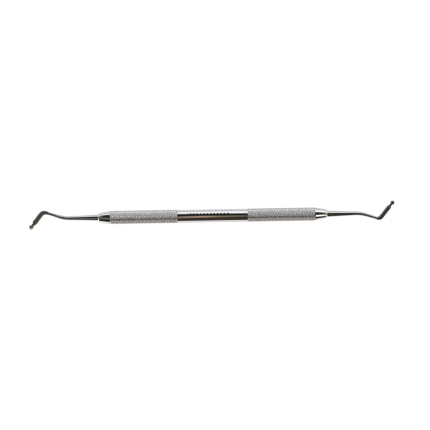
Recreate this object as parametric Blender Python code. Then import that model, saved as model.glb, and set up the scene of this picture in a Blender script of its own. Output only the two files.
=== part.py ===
"""A double-ended dental hand instrument, in metres, with +Z up.

The handle is hollow. A thin core tube carries a polished centre band and two knurled grips, and a tapered collar
is pressed into each end of the tube, where it traps the grip against the band. Each collar holds the tang of a
tapered shank, and a ring of braze seals the joint. The shank bends twice in the XY plane and carries a dark tip
with a neck and a ball end.

The origin is the middle of the handle's axis. +X runs along the handle towards the smaller tip. Each end is drawn
pointing along +X, and the larger end is then turned half a turn about Z.
"""

from dataclasses import dataclass
from math import asin, cos, pi, radians, sin, tan

import bmesh
import bpy
from mathutils import Vector

MM = 0.001

# Fits and edges
GAP = 0.03 * MM
EDGE = 0.12 * MM

# Handle, along X from its middle
BAND_HALF_LENGTH = 16.6 * MM
BAND_RADIUS = 3.0 * MM
GRIP_END = 48.0 * MM
GRIP_RADIUS = 3.125 * MM
SLEEVE_BORE_RADIUS = 2.53 * MM
CORE_RADIUS = 2.5 * MM
CORE_BORE_RADIUS = 2.1 * MM

# Collars
COLLAR_END = 53.5 * MM
COLLAR_LAND = 0.5 * MM
COLLAR_BIG_RADIUS = 2.98 * MM
COLLAR_SMALL_RADIUS = 2.12 * MM
SPIGOT_LENGTH = 10.0 * MM
SPIGOT_RADIUS = CORE_BORE_RADIUS - GAP
COLLAR_BORE_RADIUS = 1.55 * MM

# Braze rings
BRAZE_LENGTH = 0.28 * MM
BRAZE_RADIUS = 1.86 * MM
BRAZE_LIP = 0.03 * MM

# Shanks
TANG_LENGTH = 14.0 * MM
TANG_RADIUS = COLLAR_BORE_RADIUS - GAP
BEND_1_AT = 69.85 * MM
BEND_1 = radians(17.8)
BEND_1_RADIUS = 18.0 * MM
FLARE_LENGTH = 0.9 * MM
PIN_RADIUS = 0.42 * MM
PIN_LENGTH = 2.4 * MM
SOCKET_RADIUS = PIN_RADIUS + GAP

HANDLE_SIDES = 32
END_SIDES = 24
BEND_1_STEPS = 6
BEND_2_STEPS = 8
BALL_STEPS = 10
FILLET_STEPS = 4
ON_AXIS = 1e-9
SHARP_ANGLE = radians(25)


@dataclass(frozen=True)
class End:
    """Sizes of one working end, in metres. Reaches run from corner to corner of the unrounded centreline."""

    name: str
    turn: float
    waist_radius: float
    thin_radius: float
    flare_radius: float
    thin_reach: float
    bend_2: float
    bend_2_radius: float
    head_reach: float
    tip_face: float
    tip_face_radius: float
    body_radius: float
    body_end: float
    shoulder: float
    neck_radius: float
    ball_radius: float


LEFT = End(
    name="left",
    turn=pi,
    waist_radius=0.89 * MM,
    thin_radius=0.60 * MM,
    flare_radius=0.64 * MM,
    thin_reach=10.35 * MM,
    bend_2=radians(69.5),
    bend_2_radius=2.3 * MM,
    head_reach=9.20 * MM,
    tip_face=8.1 * MM,
    tip_face_radius=0.74 * MM,
    body_radius=1.115 * MM,
    body_end=6.7 * MM,
    shoulder=0.65 * MM,
    neck_radius=0.64 * MM,
    ball_radius=1.08 * MM,
)
RIGHT = End(
    name="right",
    turn=0.0,
    waist_radius=0.87 * MM,
    thin_radius=0.58 * MM,
    flare_radius=0.66 * MM,
    thin_reach=9.21 * MM,
    bend_2=radians(68.7),
    bend_2_radius=2.0 * MM,
    head_reach=9.73 * MM,
    tip_face=8.1 * MM,
    tip_face_radius=0.72 * MM,
    body_radius=0.99 * MM,
    body_end=7.3 * MM,
    shoulder=0.6 * MM,
    neck_radius=0.57 * MM,
    ball_radius=0.95 * MM,
)

# Name: colour, metallic, roughness
MATERIALS = {
    "core_steel": ((0.55, 0.55, 0.56), 1.0, 0.40),
    "band_steel": ((0.78, 0.78, 0.79), 1.0, 0.08),
    "grip_steel": ((0.66, 0.66, 0.67), 1.0, 0.32),
    "collar_steel": ((0.76, 0.76, 0.77), 1.0, 0.10),
    "braze": ((0.72, 0.70, 0.66), 1.0, 0.25),
    "shank_steel": ((0.70, 0.70, 0.71), 1.0, 0.16),
    "tip_coating": ((0.075, 0.066, 0.058), 0.6, 0.38),
}


def centreline(end):
    """The end's middle line as (length, turn) stretches, straight where the turn is 0."""
    cut_1 = BEND_1_RADIUS * tan(BEND_1 / 2)
    cut_2 = end.bend_2_radius * tan(end.bend_2 / 2)
    return (
        (BEND_1_AT - cut_1, 0.0),
        (BEND_1_RADIUS * BEND_1, -BEND_1),
        (end.thin_reach - cut_1 - cut_2, 0.0),
        (end.bend_2_radius * end.bend_2, end.bend_2),
        (end.head_reach - cut_2 + end.ball_radius, 0.0),
    )


def frame_at(line, distance):
    """Point and heading of a centreline at this distance from the middle of the handle."""
    point, heading = Vector((0.0, 0.0, 0.0)), 0.0
    for length, turn in line:
        run = min(distance, length)
        if turn:
            bent = turn * run / length
            chord = Vector((sin(heading + bent) - sin(heading), cos(heading) - cos(heading + bent), 0.0))
            point += chord * length / turn
            heading += bent
        else:
            point += Vector((cos(heading), sin(heading), 0.0)) * run
        distance -= run
        if distance <= 0:
            break
    return point, heading


def bend_stations(line):
    """Distances at which every outline gets a ring, so that nested pieces bend alike."""
    stations, start = [], 0.0
    for length, turn in line:
        steps = BEND_2_STEPS if abs(turn) > BEND_1 else BEND_1_STEPS
        if turn:
            stations += [start + length * i / steps for i in range(steps + 1)]
        start += length
    return stations


def with_bends(outline, line, closed):
    """The outline with a point added at each bend station that it passes."""
    points = []
    ends = outline[1:] + (outline[:1] if closed else [])
    for (s0, r0), (s1, r1) in zip(outline, ends):
        points.append((s0, r0))
        passed = [s for s in bend_stations(line) if min(s0, s1) < s < max(s0, s1)]
        for s in sorted(passed, reverse=s1 < s0):
            points.append((s, r0 + (r1 - r0) * (s - s0) / (s1 - s0)))
    return points if closed else points + outline[-1:]


def turned(name, outline, line, sides, material, parent=None):
    """A solid made by turning an outline of (distance, radius) points round the centreline.

    An outline that starts and ends on the axis is solid. Any other is a closed loop, with a bore.
    """
    closed = outline[0][1] > ON_AXIS
    mesh_builder = bmesh.new()
    rings = []
    for distance, radius in with_bends(outline, line, closed):
        centre, heading = frame_at(line, distance)
        if radius < ON_AXIS:
            rings.append([mesh_builder.verts.new(centre)] * sides)
            continue
        across = Vector((-sin(heading), cos(heading), 0.0))
        ring = []
        for i in range(sides):
            angle = 2 * pi * (i + 0.5) / sides
            offset = across * cos(angle) + Vector((0.0, 0.0, sin(angle)))
            ring.append(mesh_builder.verts.new(centre + offset * radius))
        rings.append(ring)
    for ring, after in zip(rings, rings[1:] + (rings[:1] if closed else [])):
        for i in range(sides):
            j = (i + 1) % sides
            # At a pole two corners are the same point, and the face is a triangle.
            corners = dict.fromkeys((ring[i], ring[j], after[j], after[i]))
            mesh_builder.faces.new(corners)
    bmesh.ops.recalc_face_normals(mesh_builder, faces=mesh_builder.faces)
    mesh = bpy.data.meshes.new(name)
    mesh_builder.to_mesh(mesh)
    mesh_builder.free()
    mesh.shade_smooth()
    mesh.set_sharp_from_angle(angle=SHARP_ANGLE)
    mesh.materials.append(material)
    piece = bpy.data.objects.new(name, mesh)
    piece.parent = parent
    bpy.context.collection.objects.link(piece)
    return piece


def make_material(name):
    """A Principled material with the sub-part's own colour and finish."""
    colour, metallic, roughness = MATERIALS[name]
    material = bpy.data.materials.new(name)
    material.use_nodes = True
    shader = material.node_tree.nodes["Principled BSDF"]
    shader.inputs["Base Color"].default_value = (*colour, 1.0)
    shader.inputs["Metallic"].default_value = metallic
    shader.inputs["Roughness"].default_value = roughness
    material.diffuse_color = (*colour, 1.0)
    return material


def taper(start, end, start_radius, end_radius, curve=1.0, steps=1):
    """Outline points from one radius to another, hollow where curve is over 1."""
    shares = [i / steps for i in range(steps + 1)]
    return [
        (start + (end - start) * t, end_radius + (start_radius - end_radius) * (1 - t) ** curve)
        for t in shares
    ]


def sleeve_outline(start, end, bore_radius, radius):
    """A plain tube with its outer edges broken."""
    return [
        (start, bore_radius),
        (start, radius - EDGE),
        (start + EDGE, radius),
        (end - EDGE, radius),
        (end, radius - EDGE),
        (end, bore_radius),
    ]


def collar_outline():
    """A cone with a short land at its big end and a bored spigot that fits the core tube."""
    spigot_end = GRIP_END - SPIGOT_LENGTH
    shoulder = GRIP_END + GAP
    return [
        (spigot_end, COLLAR_BORE_RADIUS),
        (spigot_end, SPIGOT_RADIUS - EDGE),
        (spigot_end + EDGE, SPIGOT_RADIUS),
        (shoulder, SPIGOT_RADIUS),
        (shoulder, COLLAR_BIG_RADIUS - EDGE),
        (shoulder + EDGE, COLLAR_BIG_RADIUS),
        (shoulder + COLLAR_LAND, COLLAR_BIG_RADIUS - EDGE / 4),
        (COLLAR_END - EDGE, COLLAR_SMALL_RADIUS),
        (COLLAR_END, COLLAR_SMALL_RADIUS - EDGE),
        (COLLAR_END, COLLAR_BORE_RADIUS),
    ]


def braze_outline():
    """A hollow fillet from the collar's face onto the shank."""
    foot = COLLAR_END + GAP
    fillet = []
    for i in range(FILLET_STEPS + 1):
        angle = pi / 2 * i / FILLET_STEPS
        fillet.append(
            (
                foot + BRAZE_LIP + BRAZE_LENGTH * (1 - cos(angle)),
                BRAZE_RADIUS - (BRAZE_RADIUS - COLLAR_BORE_RADIUS - BRAZE_LIP) * sin(angle),
            )
        )
    return [(foot, COLLAR_BORE_RADIUS), (foot, BRAZE_RADIUS), *fillet, (fillet[-1][0], COLLAR_BORE_RADIUS)]


def tip_start(end):
    """Distance along the centreline to the tip's inner face."""
    saved = 2 * BEND_1_RADIUS * tan(BEND_1 / 2) - BEND_1_RADIUS * BEND_1
    return BEND_1_AT + end.tip_face - saved


def head_origin(end):
    """Distance along the centreline that matches the second bend's corner, measured back along the head."""
    line = centreline(end)
    return sum(length for length, _ in line) - end.head_reach - end.ball_radius


def shank_outline(end):
    """Tang, hollow taper to the waist at the first bend, thin stretch, flared seat and the pin in the tip."""
    tang_start = COLLAR_END - TANG_LENGTH
    seat = tip_start(end) - GAP
    flare = seat - FLARE_LENGTH
    pin_end = seat + PIN_LENGTH
    return [
        (tang_start, 0.0),
        (tang_start, TANG_RADIUS - EDGE),
        (tang_start + EDGE, TANG_RADIUS),
        *taper(COLLAR_END, BEND_1_AT, TANG_RADIUS, end.waist_radius, curve=1.35, steps=8),
        *taper(BEND_1_AT, flare, end.waist_radius, end.thin_radius, curve=1.3, steps=4)[1:],
        *taper(flare, seat, end.thin_radius, end.flare_radius, steps=1)[1:],
        (seat, PIN_RADIUS),
        (pin_end - EDGE, PIN_RADIUS),
        (pin_end, PIN_RADIUS - EDGE),
        (pin_end, 0.0),
    ]


def tip_outline(end):
    """Socket, thick body that swells round the bend, bevelled shoulder, neck and ball."""
    face = tip_start(end)
    head = head_origin(end)
    socket_end = face + PIN_LENGTH + GAP
    swell_end = head + end.bend_2_radius * tan(end.bend_2 / 2)
    ball_centre = head + end.head_reach
    neck_start = head + end.body_end + end.shoulder
    first = asin(end.neck_radius / end.ball_radius)
    angles = [first + (pi - first) * i / BALL_STEPS for i in range(BALL_STEPS)]
    ball = [(ball_centre - end.ball_radius * cos(a), end.ball_radius * sin(a)) for a in angles]
    return [
        (socket_end, 0.0),
        (socket_end, SOCKET_RADIUS),
        (face, SOCKET_RADIUS),
        (face, end.tip_face_radius - EDGE),
        (face + EDGE, end.tip_face_radius),
        *taper(face + EDGE, swell_end, end.tip_face_radius, end.body_radius, curve=1.5, steps=4)[1:],
        (head + end.body_end - EDGE, end.body_radius),
        (head + end.body_end, end.body_radius - EDGE / 3),
        (neck_start, end.neck_radius),
        *ball,
        (ball_centre + end.ball_radius, 0.0),
    ]


def build_handle(materials):
    """The core tube and the centre band, which lie across the middle."""
    straight = ((GRIP_END, 0.0),)
    core = [
        (-GRIP_END, CORE_BORE_RADIUS),
        (-GRIP_END, CORE_RADIUS),
        (GRIP_END, CORE_RADIUS),
        (GRIP_END, CORE_BORE_RADIUS),
    ]
    band = sleeve_outline(-BAND_HALF_LENGTH, BAND_HALF_LENGTH, SLEEVE_BORE_RADIUS, BAND_RADIUS)
    turned("core_tube", core, straight, HANDLE_SIDES, materials["core_steel"])
    turned("centre_band", band, straight, HANDLE_SIDES, materials["band_steel"])


def build_end(end, materials):
    """Grip, collar, braze ring, shank and tip of one end, under an empty that turns them the right way."""
    hub = bpy.data.objects.new(f"{end.name}_end", None)
    hub.rotation_euler.z = end.turn
    bpy.context.collection.objects.link(hub)
    line = centreline(end)
    grip = sleeve_outline(BAND_HALF_LENGTH + GAP, GRIP_END, SLEEVE_BORE_RADIUS, GRIP_RADIUS)
    pieces = (
        ("knurled_grip", grip, HANDLE_SIDES, "grip_steel"),
        ("collar", collar_outline(), HANDLE_SIDES, "collar_steel"),
        ("braze_ring", braze_outline(), END_SIDES, "braze"),
        ("shank", shank_outline(end), END_SIDES, "shank_steel"),
        ("tip", tip_outline(end), END_SIDES, "tip_coating"),
    )
    for name, outline, sides, material in pieces:
        turned(f"{end.name}_{name}", outline, line, sides, materials[material], hub)


def main():
    for thing in list(bpy.data.objects):
        bpy.data.objects.remove(thing, do_unlink=True)
    materials = {name: make_material(name) for name in MATERIALS}
    build_handle(materials)
    for end in (LEFT, RIGHT):
        build_end(end, materials)


main()
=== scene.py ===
"""The looks of a double-ended dental hand instrument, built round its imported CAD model.

Each CAD sub-part that shows is replaced by a finer piece of the same size: a polished band, two sleeves
with a cut diamond knurl, two polished collars with a fillet of braze, two bent shanks and two dark coated
tips. The core tube stays from the CAD model, inside the handle. Lengths are in metres, +X runs along the
handle to the smaller tip and +Z is up.
"""

from dataclasses import dataclass
from math import asin, atan2, cos, hypot, pi, radians, sin, tan

import bmesh
import bpy
from mathutils import Matrix, Vector


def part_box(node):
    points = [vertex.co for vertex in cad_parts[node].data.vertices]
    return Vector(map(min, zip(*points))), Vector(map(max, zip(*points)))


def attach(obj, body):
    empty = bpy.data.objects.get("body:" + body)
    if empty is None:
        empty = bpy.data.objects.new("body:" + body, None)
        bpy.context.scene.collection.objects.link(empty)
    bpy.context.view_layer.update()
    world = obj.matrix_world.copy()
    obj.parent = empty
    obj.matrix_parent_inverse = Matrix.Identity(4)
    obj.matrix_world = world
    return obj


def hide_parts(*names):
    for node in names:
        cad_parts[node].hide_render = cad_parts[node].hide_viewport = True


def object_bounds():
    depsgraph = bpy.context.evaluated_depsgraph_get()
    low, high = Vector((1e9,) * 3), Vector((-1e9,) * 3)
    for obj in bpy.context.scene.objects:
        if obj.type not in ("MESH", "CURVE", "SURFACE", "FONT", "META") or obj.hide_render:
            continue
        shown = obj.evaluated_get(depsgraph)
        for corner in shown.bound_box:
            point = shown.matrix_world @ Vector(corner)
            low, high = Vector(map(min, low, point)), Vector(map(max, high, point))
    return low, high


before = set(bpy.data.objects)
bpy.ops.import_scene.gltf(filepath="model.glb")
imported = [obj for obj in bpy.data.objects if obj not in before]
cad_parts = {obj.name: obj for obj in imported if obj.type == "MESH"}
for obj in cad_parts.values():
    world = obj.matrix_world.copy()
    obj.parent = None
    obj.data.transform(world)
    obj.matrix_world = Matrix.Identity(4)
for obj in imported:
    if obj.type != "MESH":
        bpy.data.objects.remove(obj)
CAD_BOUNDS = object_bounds()

MM = 0.001
MICRON = 0.001 * MM
CAD_HANDLE_SIDES = 32
CAD_END_SIDES = 24


def reach(node):
    """How far from the middle of the handle a straight CAD node starts and ends, along X."""
    low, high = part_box(node)
    return sorted((abs(low.x), abs(high.x)))


def turned_radius(node, sides):
    """Largest radius of a turned CAD node. Its box stops at the flats between the corners."""
    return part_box(node)[1].z / cos(pi / sides)


# Handle, from the CAD model
BAND_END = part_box("centre_band")[1].x
BAND_RADIUS = turned_radius("centre_band", CAD_HANDLE_SIDES)
GRIP_START, GRIP_END = reach("right_knurled_grip")
GRIP_RADIUS = turned_radius("right_knurled_grip", CAD_HANDLE_SIDES)
CORE_RADIUS = turned_radius("core_tube", CAD_HANDLE_SIDES)
SPIGOT_START, COLLAR_END = reach("right_collar")
COLLAR_BIG_RADIUS = turned_radius("right_collar", CAD_HANDLE_SIDES)
BRAZE_START, BRAZE_END = reach("right_braze_ring")
BRAZE_RADIUS = turned_radius("right_braze_ring", CAD_END_SIDES)
TANG_START = abs(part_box("right_shank")[0].x)
TANG_RADIUS = turned_radius("right_shank", CAD_END_SIDES)

# Fits and edges
GAP = GRIP_START - BAND_END
EDGE = 0.12 * MM
FINE_EDGE = 0.05 * MM
TIP_EDGE = 2 * EDGE
ROUNDING_LIMIT = 0.45  # most of an outline's straight line that one rounding takes up
SLEEVE_BORE_RADIUS = CORE_RADIUS + GAP
SPIGOT_RADIUS = 2.07 * MM
COLLAR_BORE_RADIUS = TANG_RADIUS + GAP
COLLAR_SMALL_RADIUS = 2.12 * MM
COLLAR_LAND = 0.5 * MM
COLLAR_LAND_DROP = EDGE / 4
BRAZE_LIP = 0.03 * MM

# Diamond knurl: two crossing sets of helical grooves. The pitch is along the handle. The shares are half the
# width of a groove's floor and of a crest, as parts of the way from one groove to the next.
KNURL_STARTS = 17
KNURL_PITCH = 1.23 * MM
KNURL_DEPTH = 0.12 * MM
GROOVE_FLOOR_SHARE = 0.03
CREST_SHARE = 0.12
CHAMFER_CUTS = 3
SPARE_ROWS = 2

# Shanks and tips. A hollow of 1 is a plain cone, and more makes it curve in.
BEND_1_AT = 69.85 * MM
BEND_1 = radians(17.8)
BEND_1_RADIUS = 18.0 * MM
FLARE_LENGTH = 0.9 * MM
PIN_RADIUS = 0.42 * MM
PIN_LENGTH = 2.4 * MM
SOCKET_RADIUS = PIN_RADIUS + GAP
SHANK_HOLLOW = 1.35
THIN_HOLLOW = 1.3
TIP_HOLLOW = 1.5

# Fineness of the turned pieces
HANDLE_SIDES = 128
END_SIDES = 72
BEND_STEPS = 24
TAPER_STEPS = 16
ROUND_STEPS = 6
BALL_STEPS = 28
ON_AXIS = 1e-9
SHARP_ANGLE = radians(32)
KNURL_SHARP_ANGLE = radians(15)
MERGE_DISTANCE = 1e-6
CUT_TOLERANCE = 1e-8


@dataclass(frozen=True)
class End:
    """Sizes of one working end, in metres. Reaches run from corner to corner of the unrounded centreline.

    tip_face is measured from the first bend's corner, and body_end from the second's. painted_dark_reflection
    says how much of DARK_REFLECTION_COLOUR is painted on the thin stretch of the shank: a painted dark
    reflection, darker towards the tip.
    coat_and_painted_shade holds the tip's dark colours on its right side, as one looks out along the end from
    above, on
    top, and on its left side: the dark coat, with painted shade on its right side and a painted highlight on
    its left.
    painted_gold_reflection says that a gold reflection is painted on the ball and inside the bend.
    """

    name: str
    turn: float
    waist_radius: float
    thin_radius: float
    flare_radius: float
    thin_reach: float
    bend_2: float
    bend_2_radius: float
    head_reach: float
    tip_face: float
    tip_face_radius: float
    body_radius: float
    body_end: float
    shoulder: float
    neck_radius: float
    ball_radius: float
    painted_dark_reflection: float
    coat_and_painted_shade: tuple
    painted_gold_reflection: bool


LEFT = End(
    name="left",
    turn=pi,
    waist_radius=0.89 * MM,
    thin_radius=0.60 * MM,
    flare_radius=0.64 * MM,
    thin_reach=10.35 * MM,
    bend_2=radians(69.5),
    bend_2_radius=2.3 * MM,
    head_reach=9.20 * MM,
    tip_face=8.1 * MM,
    tip_face_radius=0.74 * MM,
    body_radius=turned_radius("left_tip", CAD_END_SIDES),
    body_end=6.7 * MM,
    shoulder=0.65 * MM,
    neck_radius=0.64 * MM,
    ball_radius=1.08 * MM,
    painted_dark_reflection=0.9,
    # The dark coat, painted darker on its right side and lighter on its left: painted shade and a painted
    # highlight.
    coat_and_painted_shade=((0.050, 0.048, 0.050), (0.104, 0.088, 0.080), (0.155, 0.132, 0.105)),
    painted_gold_reflection=True,
)
RIGHT = End(
    name="right",
    turn=0.0,
    waist_radius=0.87 * MM,
    thin_radius=0.58 * MM,
    flare_radius=0.66 * MM,
    thin_reach=9.21 * MM,
    bend_2=radians(68.7),
    bend_2_radius=2.0 * MM,
    head_reach=9.73 * MM,
    tip_face=8.1 * MM,
    tip_face_radius=0.72 * MM,
    body_radius=turned_radius("right_tip", CAD_END_SIDES),
    body_end=7.3 * MM,
    shoulder=0.6 * MM,
    neck_radius=0.57 * MM,
    ball_radius=0.95 * MM,
    painted_dark_reflection=0.75,
    # The dark coat, painted darker on its right side and lighter on its left: painted shade and a painted
    # highlight.
    coat_and_painted_shade=((0.012, 0.010, 0.009), (0.064, 0.054, 0.042), (0.096, 0.092, 0.070)),
    painted_gold_reflection=False,
)

# Camera, straight above the instrument. In the picture, it looks a little to the right of the handle's middle
# and above it. The lens and the sensor are in millimetres, as Blender has them.
VIEW_WIDTH = 202.4 * MM
VIEW_ROLL = radians(0.98)
VIEW_RIGHT = 1.13 * MM
VIEW_UP = 0.37 * MM
LENS = 100.0
SENSOR = 36.0
CLIP_START = 0.01
CLIP_END = 10.0
PIXEL_FILTER = 1.3  # width in pixels, for edges as soft as a lens makes them

# Etched marks on the band
DASHES_AT = -2.0 * MM
DASHES_REACH = 10.0 * MM
DASHES_BACK = 1.1 * MM
DASH_PITCH = 1.6 * MM
DASH_WIDTH = 0.4 * MM
DASH_GAP_SHARE = 0.17  # half of the gap between two dashes, as a share of the pitch
DASH_SOFT_SHARE = 0.03
DASH_COLOUR = (0.07, 0.07, 0.075)

# Finishes
BRIGHT_STEEL = (0.72, 0.72, 0.73)
SHANK_STEEL = (0.68, 0.68, 0.69)
CORE_STEEL = (0.55, 0.55, 0.56)
GROOVE_STEEL = (0.50, 0.495, 0.495)
CREST_STEEL = (0.78, 0.78, 0.79)
PALE_BRAZE = (0.82, 0.80, 0.76)
DULL_BRAZE = (0.70, 0.66, 0.60)
BAND_ROUGHNESS = 0.06
COLLAR_ROUGHNESS = 0.07
SHANK_ROUGHNESS = 0.10
CORE_ROUGHNESS = 0.35
GROOVE_ROUGHNESS = 0.38
CREST_ROUGHNESS = 0.24
BRAZE_ROUGHNESS = (0.16, 0.30)
COATING_ROUGHNESS = (0.38, 0.50)
MARK_AND_SHADE_ROUGHNESS = 0.25
SMUDGE_TONE = 0.93
COATING_METALLIC = 0.2

# Painted dark reflection on the shanks, and a painted gold reflection on the tips
DARK_REFLECTION_COLOUR = (0.17, 0.145, 0.14)
DARK_REFLECTION_START = BEND_1_AT - 5.0 * MM
DARK_REFLECTION_END = BEND_1_AT + 8.0 * MM
GOLD_REFLECTION_COLOUR = (0.85, 0.65, 0.30)

# Floor and background
FLOOR_SIZE = 6.0
WHITE = (1.0, 1.0, 1.0)


# ---------------------------------------------------------------- centreline and outlines


def centreline(end):
    """The end's middle line as (length, turn) stretches, straight where the turn is 0."""
    cut_1 = BEND_1_RADIUS * tan(BEND_1 / 2)
    cut_2 = end.bend_2_radius * tan(end.bend_2 / 2)
    return (
        (BEND_1_AT - cut_1, 0.0),
        (BEND_1_RADIUS * BEND_1, -BEND_1),
        (end.thin_reach - cut_1 - cut_2, 0.0),
        (end.bend_2_radius * end.bend_2, end.bend_2),
        (end.head_reach - cut_2 + end.ball_radius, 0.0),
    )


def frame_at(line, distance):
    """Point and heading of a centreline at this distance from the middle of the handle."""
    point, heading = Vector((0.0, 0.0, 0.0)), 0.0
    for length, turn in line:
        run = min(distance, length)
        if turn:
            bent = turn * run / length
            chord = Vector((sin(heading + bent) - sin(heading), cos(heading) - cos(heading + bent), 0.0))
            point += chord * length / turn
            heading += bent
        else:
            point += Vector((cos(heading), sin(heading), 0.0)) * run
        distance -= run
        if distance <= 0:
            break
    return point, heading


def bend_stations(line):
    """Distances at which every outline gets a ring, so that nested pieces bend alike."""
    stations, start = [], 0.0
    for length, turn in line:
        if turn:
            stations += [start + length * i / BEND_STEPS for i in range(BEND_STEPS + 1)]
        start += length
    return stations


def with_bends(outline, line, closed):
    """The outline with a point added at each bend station that it passes."""
    points = []
    ends = outline[1:] + (outline[:1] if closed else [])
    for (s0, r0), (s1, r1) in zip(outline, ends):
        points.append((s0, r0))
        first, last = min(s0, s1) + MERGE_DISTANCE, max(s0, s1) - MERGE_DISTANCE
        passed = [s for s in bend_stations(line) if first < s < last]
        for s in sorted(passed, reverse=s1 < s0):
            points.append((s, r0 + (r1 - r0) * (s - s0) / (s1 - s0)))
    return points if closed else points + outline[-1:]


def rounded(outline):
    """The outline as (distance, radius) points. A third value in a corner rounds it off by that much."""
    points = []
    for i, (distance, radius, *rounding) in enumerate(outline):
        corner = Vector((distance, radius))
        if not rounding:
            points.append((distance, radius))
            continue
        before = Vector(outline[i - 1][:2]) - corner
        after = Vector(outline[(i + 1) % len(outline)][:2]) - corner
        start = corner + before.normalized() * min(rounding[0], before.length * ROUNDING_LIMIT)
        end = corner + after.normalized() * min(rounding[0], after.length * ROUNDING_LIMIT)
        for step in range(ROUND_STEPS + 1):
            t = step / ROUND_STEPS
            points.append(tuple(start * (1 - t) ** 2 + corner * (2 * t * (1 - t)) + end * t**2))
    return points


def taper(start, end, start_radius, end_radius, hollow):
    """Outline points from one radius to another."""
    shares = [i / TAPER_STEPS for i in range(TAPER_STEPS + 1)]
    return [
        (start + (end - start) * t, end_radius + (start_radius - end_radius) * (1 - t) ** hollow)
        for t in shares
    ]


def band_outline():
    """A plain tube with rounded edges."""
    return [
        (-BAND_END, SLEEVE_BORE_RADIUS, FINE_EDGE),
        (-BAND_END, BAND_RADIUS, EDGE),
        (BAND_END, BAND_RADIUS, EDGE),
        (BAND_END, SLEEVE_BORE_RADIUS, FINE_EDGE),
    ]


def collar_outline():
    """A cone with a short land at its big end and a bored spigot that fits the core tube."""
    shoulder = GRIP_END + GAP
    return [
        (SPIGOT_START, COLLAR_BORE_RADIUS, FINE_EDGE),
        (SPIGOT_START, SPIGOT_RADIUS, EDGE),
        (shoulder, SPIGOT_RADIUS),
        (shoulder, COLLAR_BIG_RADIUS, EDGE),
        (shoulder + COLLAR_LAND, COLLAR_BIG_RADIUS - COLLAR_LAND_DROP, EDGE),
        (COLLAR_END, COLLAR_SMALL_RADIUS, EDGE),
        (COLLAR_END, COLLAR_BORE_RADIUS, FINE_EDGE),
    ]


def braze_outline():
    """A hollow fillet from the collar's face onto the shank."""
    top = BRAZE_RADIUS - COLLAR_BORE_RADIUS - BRAZE_LIP
    run = BRAZE_END - BRAZE_START - BRAZE_LIP
    angles = [pi / 2 * i / ROUND_STEPS for i in range(ROUND_STEPS + 1)]
    fillet = [(BRAZE_START + BRAZE_LIP + run * (1 - cos(a)), BRAZE_RADIUS - top * sin(a)) for a in angles]
    return [
        (BRAZE_START, COLLAR_BORE_RADIUS),
        (BRAZE_START, BRAZE_RADIUS),
        *fillet,
        (BRAZE_END, COLLAR_BORE_RADIUS),
    ]


def tip_start(end):
    """Distance along the centreline to the tip's inner face."""
    saved = 2 * BEND_1_RADIUS * tan(BEND_1 / 2) - BEND_1_RADIUS * BEND_1
    return BEND_1_AT + end.tip_face - saved


def head_origin(end):
    """Distance along the centreline that matches the second bend's corner, measured back along the head."""
    return sum(length for length, _ in centreline(end)) - end.head_reach - end.ball_radius


def shank_outline(end):
    """Tang, hollow taper to the waist at the first bend, thin stretch, flared seat and the pin in the tip."""
    seat = tip_start(end) - GAP
    flare = seat - FLARE_LENGTH
    pin_end = seat + PIN_LENGTH
    return [
        (TANG_START, 0.0),
        (TANG_START, TANG_RADIUS, EDGE),
        *taper(COLLAR_END, BEND_1_AT, TANG_RADIUS, end.waist_radius, SHANK_HOLLOW),
        *taper(BEND_1_AT, flare, end.waist_radius, end.thin_radius, THIN_HOLLOW)[1:],
        (seat, end.flare_radius, FINE_EDGE),
        (seat, PIN_RADIUS),
        (pin_end, PIN_RADIUS, EDGE),
        (pin_end, 0.0),
    ]


def tip_outline(end):
    """Socket, thick body that swells round the bend, bevelled shoulder, neck and ball."""
    face = tip_start(end)
    head = head_origin(end)
    socket_end = face + PIN_LENGTH + GAP
    swell_end = head + end.bend_2_radius * tan(end.bend_2 / 2)
    ball_centre = head + end.head_reach
    neck_start = head + end.body_end + end.shoulder
    first = asin(end.neck_radius / end.ball_radius)
    angles = [first + (pi - first) * i / BALL_STEPS for i in range(BALL_STEPS)]
    ball = [(ball_centre - end.ball_radius * cos(a), end.ball_radius * sin(a)) for a in angles]
    return [
        (socket_end, 0.0),
        (socket_end, SOCKET_RADIUS),
        (face, SOCKET_RADIUS),
        (face, end.tip_face_radius, EDGE),
        *taper(face + TIP_EDGE, swell_end, end.tip_face_radius, end.body_radius, TIP_HOLLOW),
        (head + end.body_end, end.body_radius, TIP_EDGE),
        (neck_start, end.neck_radius, TIP_EDGE),
        *ball,
        (ball_centre + end.ball_radius, 0.0),
    ]


# ---------------------------------------------------------------- pieces


def finish_piece(name, builder, turn, sharp_angle, material, node):
    """Makes the piece, turned about Z to its end of the handle, and puts it in the CAD node's place."""
    bmesh.ops.recalc_face_normals(builder, faces=builder.faces)
    mesh = bpy.data.meshes.new(name)
    builder.to_mesh(mesh)
    builder.free()
    mesh.transform(Matrix.Rotation(turn, 4, "Z"))
    mesh.shade_smooth()
    mesh.set_sharp_from_angle(angle=sharp_angle)
    mesh.materials.append(material)
    piece = bpy.data.objects.new(name, mesh)
    bpy.context.collection.objects.link(piece)
    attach(piece, "root")
    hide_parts(node)


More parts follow.
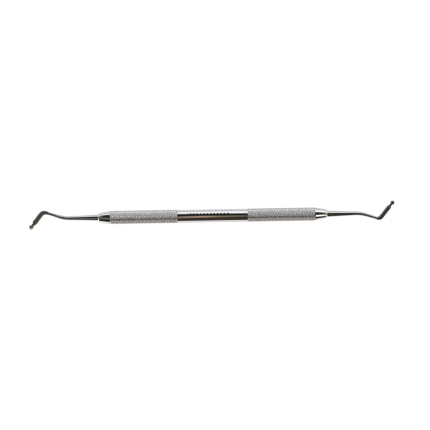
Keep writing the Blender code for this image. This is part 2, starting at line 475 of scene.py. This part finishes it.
def turned(name, outline, line, sides, turn, material, node):
    """A solid made by turning an outline of (distance, radius) points round the centreline.

    An outline that starts and ends on the axis is solid. Any other is a closed loop, with a bore. Each vertex
    keeps the place it would have if the centreline were straight, so that the marks of turning follow the
    bends.
    """
    closed = outline[0][1] > ON_AXIS
    builder = bmesh.new()
    straight = builder.verts.layers.float_vector.new("straight")
    rings = []
    for distance, radius in with_bends(rounded(outline), line, closed):
        centre, heading = frame_at(line, distance)
        if radius < ON_AXIS:
            pole = builder.verts.new(centre)
            pole[straight] = (distance, 0.0, 0.0)
            rings.append([pole] * sides)
            continue
        across = Vector((-sin(heading), cos(heading), 0.0))
        ring = []
        for i in range(sides):
            angle = 2 * pi * (i + 0.5) / sides
            offset = across * cos(angle) + Vector((0.0, 0.0, sin(angle)))
            vertex = builder.verts.new(centre + offset * radius)
            vertex[straight] = (distance, radius * cos(angle), radius * sin(angle))
            ring.append(vertex)
        rings.append(ring)
    for ring, after in zip(rings, rings[1:] + (rings[:1] if closed else [])):
        for i in range(sides):
            j = (i + 1) % sides
            # At a pole two corners are the same point, and the face is a triangle.
            builder.faces.new(dict.fromkeys((ring[i], ring[j], after[j], after[i])))
    finish_piece(name, builder, turn, SHARP_ANGLE, material, node)


def zip_rings(builder, outer, inner):
    """Fills the flat face between two rings of (angle, vertex) pairs that may differ in number."""
    outer = outer + [(outer[0][0] + 2 * pi, outer[0][1])]
    inner = inner + [(inner[0][0] + 2 * pi, inner[0][1])]
    i = j = 0
    while i < len(outer) - 1 or j < len(inner) - 1:
        outer_next = outer[i + 1][0] if i < len(outer) - 1 else 4 * pi
        inner_next = inner[j + 1][0] if j < len(inner) - 1 else 4 * pi
        if outer_next < inner_next:
            builder.faces.new((outer[i][1], outer[i + 1][1], inner[j][1]))
            i += 1
        else:
            builder.faces.new((outer[i][1], inner[j + 1][1], inner[j][1]))
            j += 1


def knurl_surface(builder, start, end):
    """The knurled outside of a sleeve, ragged and a little too long at both ends.

    The grooves of the two sets are numbered p and q. From one groove's floor to the next, the profile is a
    flank, a crest and a flank. The surface lies as low as the lower of the two sets there, which leaves
    four-sided points between the grooves.
    """
    profile = (
        (GROOVE_FLOOR_SHARE, 0.0),
        (0.5 - CREST_SHARE, 1.0),
        (0.5 + CREST_SHARE, 1.0),
        (1.0 - GROOVE_FLOOR_SHARE, 0.0),
    )
    parts = len(profile)
    lap = KNURL_STARTS * parts
    made = {}

    def corner(i, j):
        """The vertex on line i of one set and line j of the other.

        Once round the sleeve, both go up by a lap.
        """
        laps = i // lap
        i, j = i - laps * lap, j - laps * lap
        if (i, j) not in made:
            p, p_height = i // parts + profile[i % parts][0], profile[i % parts][1]
            q, q_height = j // parts + profile[j % parts][0], profile[j % parts][1]
            angle = pi * (p + q) / KNURL_STARTS
            radius = GRIP_RADIUS - KNURL_DEPTH * (1 - min(p_height, q_height))
            along = KNURL_PITCH * (p - q) / 2
            made[i, j] = builder.verts.new((along, radius * cos(angle), radius * sin(angle)))
        return made[i, j]

    first = int(2 * start / KNURL_PITCH) - SPARE_ROWS
    last = int(2 * end / KNURL_PITCH) + 1 + SPARE_ROWS
    for p_line in range(lap):
        p_cell, p_part = divmod(p_line, parts)
        for offset in range(first, last):
            for q_part in range(parts):
                i, j = p_line, (p_cell - offset) * parts + q_part
                a, b, c, d = corner(i, j), corner(i + 1, j), corner(i + 1, j + 1), corner(i, j + 1)
                # Even parts of the profile are flanks. Where two cross, the surface folds along a diagonal.
                on_flanks = p_part % 2 == 0 and q_part % 2 == 0
                if not on_flanks:
                    builder.faces.new((a, b, c, d))
                elif p_part == q_part:
                    builder.faces.new((a, b, c))
                    builder.faces.new((a, c, d))
                else:
                    builder.faces.new((a, b, d))
                    builder.faces.new((b, c, d))


def cut_across(builder, along, keep=0):
    """Splits the surface at this place on the X axis. keep is 1 or -1 to drop what is below or above it."""
    everything = [*builder.verts, *builder.edges, *builder.faces]
    bmesh.ops.bisect_plane(
        builder,
        geom=everything,
        dist=CUT_TOLERANCE,
        plane_co=(along, 0.0, 0.0),
        plane_no=(1.0, 0.0, 0.0),
        clear_inner=keep > 0,
        clear_outer=keep < 0,
    )


def knurled_sleeve(name, turn, material, node):
    """A sleeve with a diamond knurl that runs out into a chamfer at each end."""
    builder = bmesh.new()
    knurl_surface(builder, GRIP_START, GRIP_END)
    cut_across(builder, GRIP_START, keep=1)
    cut_across(builder, GRIP_END, keep=-1)
    for i in range(1, CHAMFER_CUTS + 1):
        cut_across(builder, GRIP_START + KNURL_DEPTH * i / CHAMFER_CUTS)
        cut_across(builder, GRIP_END - KNURL_DEPTH * i / CHAMFER_CUTS)
    for vertex in builder.verts:
        from_end = min(vertex.co.x - GRIP_START, GRIP_END - vertex.co.x)
        limit = GRIP_RADIUS - max(0.0, KNURL_DEPTH - from_end)
        radius = hypot(vertex.co.y, vertex.co.z)
        if radius > limit:
            vertex.co.y *= limit / radius
            vertex.co.z *= limit / radius
    bmesh.ops.remove_doubles(builder, verts=builder.verts, dist=MERGE_DISTANCE)
    bores = []
    for along in (GRIP_START, GRIP_END):
        rim = [v for v in builder.verts if abs(v.co.x - along) < MERGE_DISTANCE and v.is_boundary]
        outer = sorted(((atan2(v.co.z, v.co.y) % (2 * pi), v) for v in rim), key=lambda pair: pair[0])
        angles = [2 * pi * i / HANDLE_SIDES for i in range(HANDLE_SIDES)]
        ring = [(SLEEVE_BORE_RADIUS * cos(a), SLEEVE_BORE_RADIUS * sin(a)) for a in angles]
        bore = [builder.verts.new((along, y, z)) for y, z in ring]
        zip_rings(builder, outer, list(zip(angles, bore)))
        bores.append(bore)
    for i in range(HANDLE_SIDES):
        j = (i + 1) % HANDLE_SIDES
        builder.faces.new((bores[0][i], bores[0][j], bores[1][j], bores[1][i]))
    straight = builder.verts.layers.float_vector.new("straight")
    for vertex in builder.verts:
        vertex[straight] = vertex.co
    finish_piece(name, builder, turn, KNURL_SHARP_ANGLE, material, node)


# ---------------------------------------------------------------- node trees


class Tree:
    """Builds one node tree. An input is a socket of another node or a plain value."""

    def __init__(self, owner):
        owner.use_nodes = True
        self.nodes = owner.node_tree.nodes
        self.links = owner.node_tree.links
        self.nodes.clear()

    def add(self, kind, inputs=None, **settings):
        """A node with its settings and inputs."""
        node = self.nodes.new(f"ShaderNode{kind}")
        for name, value in settings.items():
            setattr(node, name, value)
        for key, value in (inputs or {}).items():
            if isinstance(value, bpy.types.NodeSocket):
                self.links.new(value, node.inputs[key])
            else:
                node.inputs[key].default_value = value
        return node

    def math(self, operation, *values):
        """The result of a Math node."""
        return self.add("Math", dict(enumerate(values)), operation=operation).outputs[0]

    def axes(self, vector):
        """The three parts of a vector."""
        parts = self.add("SeparateXYZ", {0: vector}).outputs
        return parts["X"], parts["Y"], parts["Z"]

    def noise(self, place, sizes, detail):
        """Noise from 0 to 1, with features of about these sizes along the three axes."""
        shares = [1.0 / size for size in sizes]
        scaled = self.add("VectorMath", {0: place, 1: shares}, operation="MULTIPLY").outputs[0]
        return self.add("TexNoise", {"Vector": scaled, "Scale": 1.0, "Detail": detail}).outputs[0]

    def spread(self, value, start, end, low=0.0, high=1.0):
        """The value moved smoothly from start..end to low..high, and held there outside it."""
        inputs = {"Value": value, "From Min": start, "From Max": end, "To Min": low, "To Max": high}
        return self.add("MapRange", inputs, interpolation_type="SMOOTHSTEP").outputs["Result"]

    def blend(self, share, first, second):
        """Colour first where share is 0 and second where it is 1."""
        # This node has sockets of the same name for every type of data, so the ones for colour go by number.
        node = self.add("Mix", data_type="RGBA")
        for socket, value in zip((node.inputs[0], node.inputs[6], node.inputs[7]), (share, first, second)):
            if isinstance(value, bpy.types.NodeSocket):
                self.links.new(value, socket)
            else:
                socket.default_value = value if isinstance(value, float) else (*value, 1.0)
        return node.outputs[2]

    def bump(self, height, depth, below=None):
        """A normal from a height pattern of 0 to 1 that is this deep, in metres."""
        inputs = {"Height": height, "Distance": depth}
        if below is not None:
            inputs["Normal"] = below
        return self.add("Bump", inputs).outputs[0]


def new_material(name):
    """An empty material and its node tree."""
    material = bpy.data.materials.new(name)
    return material, Tree(material)


def close_material(tree, **inputs):
    """Ends the tree with a Principled shader."""
    named = {key.replace("_", " "): value for key, value in inputs.items()}
    shader = tree.add("BsdfPrincipled", named)
    tree.links.new(shader.outputs[0], tree.add("OutputMaterial").inputs[0])


def straight_place(tree):
    """Texture coordinates that run straight along a bent piece."""
    return tree.add("Attribute", attribute_name="straight").outputs["Vector"]


def object_place(tree):
    """Texture coordinates in the object's own frame, for a CAD node."""
    return tree.add("TexCoord").outputs["Object"]


# ---------------------------------------------------------------- materials


def polished_steel(name, colour, roughness, place=straight_place, marks_and_painted_shade=None):
    """Bright steel with the fine rings of a polishing wheel, faint smudges and a slightly uneven surface.

    marks_and_painted_shade takes the tree and the texture coordinates, and returns a colour and where it
    shows, from 0 to 1:
    etched marks on the band, and a painted dark reflection on the shanks.
    """
    material, tree = new_material(name)
    spot = place(tree)
    rings = tree.noise(spot, (0.07 * MM, 3.0 * MM, 3.0 * MM), detail=3.0)
    smudge = tree.noise(spot, (2.5 * MM, 1.2 * MM, 1.2 * MM), detail=4.0)
    wave = tree.noise(spot, (5.0 * MM, 2.0 * MM, 2.0 * MM), detail=0.0)
    finish = tree.math(
        "ADD",
        tree.spread(rings, 0.35, 0.75, roughness * 0.7, roughness * 1.2),
        tree.spread(smudge, 0.45, 0.8, 0.0, roughness * 0.9),
    )
    tone = tree.blend(tree.spread(smudge, 0.3, 0.8), colour, tuple(SMUDGE_TONE * c for c in colour))
    if marks_and_painted_shade:
        # The colour takes the etched marks here, and on the shanks a painted dark reflection.
        mark_and_shade_colour, mark_and_shade_mask = marks_and_painted_shade(tree, spot)
        tone = tree.blend(mark_and_shade_mask, tone, mark_and_shade_colour)
        finish = tree.math("MULTIPLY_ADD", mark_and_shade_mask, MARK_AND_SHADE_ROUGHNESS, finish)
    uneven = tree.bump(wave, 6 * MICRON)
    close_material(
        tree,
        Base_Color=tone,
        Metallic=1.0,
        Roughness=finish,
        Normal=tree.bump(rings, MICRON, uneven),
    )
    return material


def etched_dashes(tree, spot):
    """A plain row of dark dashes along the band, a little to the back of its top."""
    x, y, z = tree.axes(spot)
    along = tree.math("ABSOLUTE", tree.math("SUBTRACT", x, DASHES_AT))
    phase = tree.math("PINGPONG", tree.math("DIVIDE", x, DASH_PITCH), 0.5)
    across = tree.math("ABSOLUTE", tree.math("SUBTRACT", y, DASHES_BACK))
    masks = (
        tree.spread(phase, DASH_GAP_SHARE, DASH_GAP_SHARE + DASH_SOFT_SHARE),
        tree.spread(across, DASH_WIDTH / 2, DASH_WIDTH / 2 + FINE_EDGE, 1.0, 0.0),
        tree.spread(along, DASHES_REACH, DASHES_REACH + FINE_EDGE, 1.0, 0.0),
        tree.spread(z, 0.0, EDGE),
    )
    shown = masks[0]
    for mask in masks[1:]:
        shown = tree.math("MULTIPLY", shown, mask)
    return DASH_COLOUR, shown


def painted_dark_reflection(end):
    """Painted dark reflection that darkens the shank towards the tip, with a cloudy edge."""

    def marks_and_painted_shade(tree, spot):
        along, _, _ = tree.axes(spot)
        cloud = tree.noise(spot, (1.5 * MM, 0.7 * MM, 0.7 * MM), detail=3.0)
        edge = tree.math("MULTIPLY_ADD", tree.spread(cloud, 0.3, 0.7, -1.0, 1.0), MM, along)
        return DARK_REFLECTION_COLOUR, tree.spread(edge, DARK_REFLECTION_START, DARK_REFLECTION_END, 0.0, end.painted_dark_reflection)

    return marks_and_painted_shade


def knurled_steel():
    """Satin steel, lighter and smoother on the crests and darker and duller in the grooves."""
    material, tree = new_material("knurled_satin_steel")
    spot = straight_place(tree)
    _, y, z = tree.axes(spot)
    radius = tree.math("SQRT", tree.math("ADD", tree.math("POWER", y, 2.0), tree.math("POWER", z, 2.0)))
    grain = tree.noise(spot, (0.09 * MM, 0.09 * MM, 0.09 * MM), detail=4.0)
    patch = tree.noise(spot, (4.0 * MM, 2.0 * MM, 2.0 * MM), detail=3.0)
    height = tree.spread(radius, GRIP_RADIUS - KNURL_DEPTH, GRIP_RADIUS)
    crest_mask = tree.math("MULTIPLY", height, tree.spread(patch, 0.2, 0.7, 0.6, 1.0))
    finish = tree.math(
        "ADD",
        tree.spread(crest_mask, 0.0, 1.0, GROOVE_ROUGHNESS, CREST_ROUGHNESS),
        tree.spread(grain, 0.3, 0.7, -0.04, 0.06),
    )
    close_material(
        tree,
        Base_Color=tree.blend(crest_mask, GROOVE_STEEL, CREST_STEEL),
        Metallic=1.0,
        Roughness=finish,
        Normal=tree.bump(grain, 4 * MICRON),
    )
    return material


def braze_metal():
    """Pale filler metal with the soft ripple of a joint that flowed and set."""
    material, tree = new_material("braze_metal")
    spot = straight_place(tree)
    ripple = tree.noise(spot, (0.25 * MM, 0.5 * MM, 0.5 * MM), detail=2.0)
    close_material(
        tree,
        Base_Color=tree.blend(ripple, PALE_BRAZE, DULL_BRAZE),
        Metallic=1.0,
        Roughness=tree.spread(ripple, 0.3, 0.7, *BRAZE_ROUGHNESS),
        Normal=tree.bump(ripple, 12 * MICRON),
    )
    return material


def painted_gold_reflection(tree, end, spot):
    """Where a gold reflection is painted on a tip, from 0 to 1: a side of the ball and inside the bend."""
    x, y, _ = tree.axes(spot)
    head = head_origin(end)
    head_turn = end.bend_2 - BEND_1
    past_ball = tree.math("SUBTRACT", x, head + end.head_reach)
    towards = [
        tree.math("MULTIPLY", part, share / end.ball_radius)
        for part, share in ((past_ball, sin(head_turn)), (y, cos(head_turn)))
    ]
    on_ball = tree.spread(tree.math("ADD", *towards), -0.1, 0.35)
    side = tree.math("DIVIDE", y, end.body_radius)
    past_head = tree.math("DIVIDE", tree.math("SUBTRACT", x, head), end.body_end)
    inside_bend = tree.math(
        "MULTIPLY",
        tree.spread(side, 0.75, 1.0),
        tree.spread(past_head, 0.3, 0.65, 0.6, 0.0),
    )
    return tree.math("MAXIMUM", on_ball, inside_bend)


def tip_coating(end):
    """A dark satin coat with a fine grain, painted darker on the tip's right side and lighter on its left:
    painted shade and a painted highlight.
    """
    material, tree = new_material(f"{end.name}_dark_coating")
    spot = straight_place(tree)
    grain = tree.noise(spot, (0.05 * MM, 0.05 * MM, 0.05 * MM), detail=3.0)
    patch = tree.noise(spot, (1.6 * MM, 0.8 * MM, 0.8 * MM), detail=4.0)
    _, y, _ = tree.axes(spot)
    across = tree.math("DIVIDE", y, end.body_radius)
    side = tree.math("ADD", across, tree.spread(patch, 0.3, 0.7, -0.15, 0.15))
    # Painted shade and a painted highlight: the colour goes from dark on one side of the tip to lighter on
    # the other.
    right, top, left = end.coat_and_painted_shade
    tone = tree.blend(tree.spread(side, -0.9, -0.1), right, top)
    tone = tree.blend(tree.spread(side, 0.1, 0.9), tone, left)
    # A painted gold reflection on the ball and inside the bend.
    if end.painted_gold_reflection:
        tone = tree.blend(painted_gold_reflection(tree, end, spot), tone, GOLD_REFLECTION_COLOUR)
    close_material(
        tree,
        Base_Color=tone,
        Metallic=COATING_METALLIC,
        Roughness=tree.spread(grain, 0.25, 0.75, *COATING_ROUGHNESS),
        Normal=tree.bump(grain, 3 * MICRON),
    )
    return material


# ---------------------------------------------------------------- studio


def grey(level):
    """A neutral colour."""
    return (level, level, level)


# What polished metal mirrors. The room is a row of columns, each at its tilt towards +X in degrees. A column
# is a ring of (first degree, last degree, colour) strips round the handle's axis, where 0 is straight up and
# 90 is towards +Y.
NEAR_FLOOR = (0.70, 0.68, 0.66)
FLOOR = (1.12, 1.06, 1.01)
SOFT_BOX = grey(1.35)
WALL = grey(0.72)
FAR_WALL = grey(0.92)
DARK = grey(0.02)
WARM_DARK = (0.048, 0.036, 0.026)
BROWN = (0.052, 0.042, 0.034)
DIM_OLIVE = (0.16, 0.15, 0.12)
OLIVE = (0.24, 0.21, 0.13)
GREY_GREEN = (0.19, 0.22, 0.19)
TAN = (0.56, 0.40, 0.27)
LAMP = (1.78, 1.57, 1.41)
FAR_SIDE = ((112, 140, FAR_WALL), (140, 180, NEAR_FLOOR))
LEFT_SIDE = (
    (-180, -140, NEAR_FLOOR),
    (-140, -94, FLOOR),
    (-94, -36, DARK),
    (-36, -4, GREY_GREEN),
    (-4, 57, DARK),
    (57, 72, SOFT_BOX),
    (72, 112, WALL),
    *FAR_SIDE,
)
LEFT_OF_MIDDLE = (
    (-180, -140, NEAR_FLOOR),
    (-140, -98, FLOOR),
    (-98, -50, DARK),
    (-50, -10, DIM_OLIVE),
    (-10, 52, DARK),
    (52, 72, SOFT_BOX),
    (72, 112, WALL),
    *FAR_SIDE,
)
RIGHT_OF_MIDDLE = (
    (-180, -122, FLOOR),
    (-122, 36, DARK),
    (36, 90, grey(1.1)),
    (90, 180, NEAR_FLOOR),
)
RIGHT_SIDE = (
    (-180, -140, NEAR_FLOOR),
    (-140, -99, FLOOR),
    (-99, -50, DARK),
    (-50, -21, LAMP),
    (-21, 40, WARM_DARK),
    (40, 76, grey(1.45)),
    (76, 180, grey(0.76)),
)
END_OF_ROOM = (
    (-180, -150, grey(1.8)),
    (-150, -106, grey(4.0)),
    (-106, -84, grey(0.1)),
    (-84, -62, grey(0.6)),
    (-62, -46, grey(1.7)),
    (-46, 8, grey(0.03)),
    (8, 56, grey(0.9)),
    (56, 84, grey(2.8)),
    (84, 135, grey(0.03)),
    (135, 180, grey(0.6)),
)


def middle(glow):
    """What the centre band mirrors, with a glow of this colour nearly overhead."""
    return (
        (-180, -135, NEAR_FLOOR),
        (-135, -96, FLOOR),
        (-96, -27, BROWN),
        (-27, 0, glow),
        (0, 40, DARK),
        (40, 80, SOFT_BOX),
        (80, 112, WALL),
        *FAR_SIDE,
    )


ROOM = (
    (-32, END_OF_ROOM),
    (-26, LEFT_SIDE),
    (-17, LEFT_SIDE),
    (-10, LEFT_OF_MIDDLE),
    (-2, middle(TAN)),
    (2, middle(OLIVE)),
    (12, RIGHT_OF_MIDDLE),
    (17, RIGHT_SIDE),
    (26, RIGHT_SIDE),
    (32, END_OF_ROOM),
)
STRIP_SOFTNESS = 3.0


def room_column(tree, angle, strips):
    """The column's colour at an angle that runs from 0 to 1, with soft edges between the strips."""
    ramp = tree.add("ValToRGB", {0: angle})
    elements = ramp.color_ramp.elements
    stops = []
    for first, last, colour in strips:
        stops += [(first + STRIP_SOFTNESS, colour), (last - STRIP_SOFTNESS, colour)]
    for index, (degrees, colour) in enumerate(stops):
        share = (degrees + 180.0) / 360.0
        # A new ramp has two stops already.
        stop = elements[index] if index < 2 else elements.new(share)
        stop.position = share
        stop.color = (*colour, 1.0)
    return ramp.outputs[0]


def build_world():
    """A white room with long soft boxes, dark gaps and a warm lamp. The camera sees only white."""
    world = bpy.data.worlds.new("studio")
    bpy.context.scene.world = world
    tree = Tree(world)
    x, y, z = tree.axes(tree.add("TexCoord").outputs["Generated"])
    turn = tree.math("ARCTAN2", y, z)
    angle = tree.math("MULTIPLY_ADD", turn, 1 / (2 * pi), 0.5)
    (tilt, strips), *others = ROOM
    light = room_column(tree, angle, strips)
    for next_tilt, strips in others:
        share = tree.spread(x, sin(radians(tilt)), sin(radians(next_tilt)))
        light = tree.blend(share, light, room_column(tree, angle, strips))
        tilt = next_tilt
    reflected = tree.add("Background", {"Color": light, "Strength": 1.0})
    behind = tree.add("Background", {"Color": (*WHITE, 1.0), "Strength": 1.0})
    seen = tree.add("LightPath").outputs["Is Camera Ray"]
    mixed = tree.add("MixShader", {0: seen, 1: reflected.outputs[0], 2: behind.outputs[0]})
    tree.links.new(mixed.outputs[0], tree.add("OutputWorld").inputs[0])


def build_floor():
    """A plain white light table under the instrument. The metal mirrors the room in its place."""
    material, tree = new_material("light_table")
    glow = tree.add("Emission", {"Color": (*WHITE, 1.0), "Strength": 1.0})
    tree.links.new(glow.outputs[0], tree.add("OutputMaterial").inputs[0])
    builder = bmesh.new()
    bmesh.ops.create_grid(builder, x_segments=1, y_segments=1, size=FLOOR_SIZE / 2)
    mesh = bpy.data.meshes.new("floor")
    builder.to_mesh(mesh)
    builder.free()
    mesh.materials.append(material)
    floor = bpy.data.objects.new("floor", mesh)
    floor.location.z = CAD_BOUNDS[0].z - GAP
    floor.visible_glossy = False
    bpy.context.collection.objects.link(floor)


def build_camera():
    """A long lens straight above the handle, turned a little, as the photograph was taken."""
    data = bpy.data.cameras.new("camera")
    data.lens = LENS
    data.sensor_width = SENSOR
    data.clip_start = CLIP_START
    data.clip_end = CLIP_END
    camera = bpy.data.objects.new("camera", data)
    camera.rotation_euler.z = -VIEW_ROLL
    offset = Matrix.Rotation(-VIEW_ROLL, 3, "Z") @ Vector((VIEW_RIGHT, VIEW_UP, 0.0))
    camera.location = offset + Vector((0.0, 0.0, VIEW_WIDTH * LENS / SENSOR))
    bpy.context.collection.objects.link(camera)
    bpy.context.scene.camera = camera


# ---------------------------------------------------------------- the instrument


def build_handle():
    """The centre band, and a finish for the core tube that stays from the CAD model."""
    steel = polished_steel("band_polished_steel", BRIGHT_STEEL, BAND_ROUGHNESS, marks_and_painted_shade=etched_dashes)
    line = ((BAND_END, 0.0),)
    turned("polished_band", band_outline(), line, HANDLE_SIDES, 0.0, steel, "centre_band")
    drawn_steel = polished_steel("core_drawn_steel", CORE_STEEL, CORE_ROUGHNESS, place=object_place)
    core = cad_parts["core_tube"]
    core.data.materials.clear()
    core.data.materials.append(drawn_steel)


def build_end(end, knurl, collar, braze):
    """Grip, collar, braze fillet, shank and tip of one end."""
    name = end.name
    line = centreline(end)
    shank = polished_steel(
        f"{name}_shank_polished_steel",
        SHANK_STEEL,
        SHANK_ROUGHNESS,
        # A painted dark reflection darkens the shank towards the tip.
        marks_and_painted_shade=painted_dark_reflection(end),
    )
    knurled_sleeve(f"{name}_diamond_knurl", end.turn, knurl, f"{name}_knurled_grip")
    pieces = (
        ("tapered_collar", collar_outline(), HANDLE_SIDES, collar, "collar", "collar_steel"),
        ("braze_fillet", braze_outline(), END_SIDES, braze, "braze_ring", "braze"),
        ("bent_shank", shank_outline(end), END_SIDES, shank, "shank", "shank_steel"),
        ("coated_tip", tip_outline(end), END_SIDES, tip_coating(end), "tip", "tip_coating"),
    )
    for label, outline, sides, material, node, slot in pieces:
        turned(f"{name}_{label}", outline, line, sides, end.turn, material, f"{name}_{node}")


def main():
    """Sets how the image is made, and builds the studio and the instrument."""
    scene = bpy.context.scene
    scene.view_settings.view_transform = "Standard"
    scene.cycles.use_denoising = False  # it would smear the knurl
    scene.cycles.filter_width = PIXEL_FILTER
    build_world()
    build_floor()
    build_camera()
    build_handle()
    knurl = knurled_steel()
    collar = polished_steel("collar_polished_steel", BRIGHT_STEEL, COLLAR_ROUGHNESS)
    braze = braze_metal()
    for end in (LEFT, RIGHT):
        build_end(end, knurl, collar, braze)


main()
